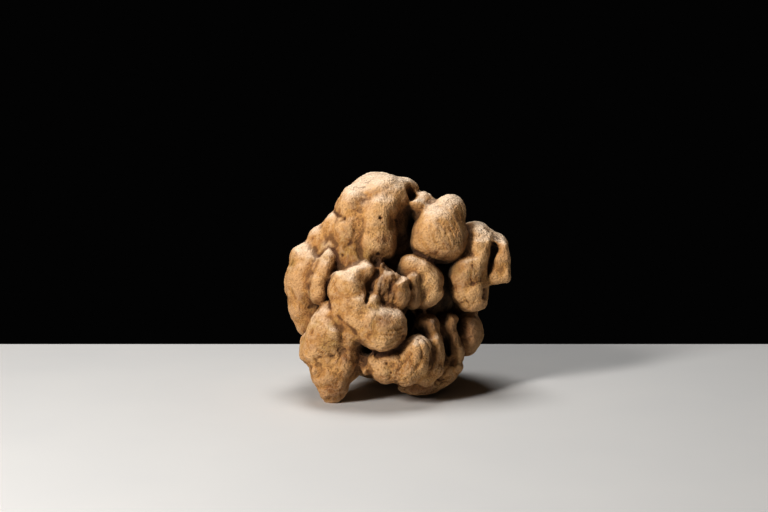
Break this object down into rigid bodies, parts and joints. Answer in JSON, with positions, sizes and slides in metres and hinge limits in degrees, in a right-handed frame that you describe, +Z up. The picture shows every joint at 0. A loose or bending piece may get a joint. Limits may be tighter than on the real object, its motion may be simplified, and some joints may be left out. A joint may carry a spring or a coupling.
{
  "type": "white truffle",
  "caption": "Whole white truffle: a lumpy, pale ochre fruiting body of fused lobes and folds with deep creases, standing on three small worn flats.",
  "frame": {"origin": "middle of the bounding box at the surface that the truffle rests on", "axes": "+Z up, -Y towards the face that the picture shows, +X to that face's right"},
  "size_m": [0.0964, 0.084, 0.0928],
  "materials": {
    "truffle_skin": "matt, dry, dusty pale ochre skin, browner in the creases, with fine wrinkles and pinholes"
  },
  "bodies": {
    "root": {"white_truffle": "truffle_skin"}
  },
  "joints": []
}
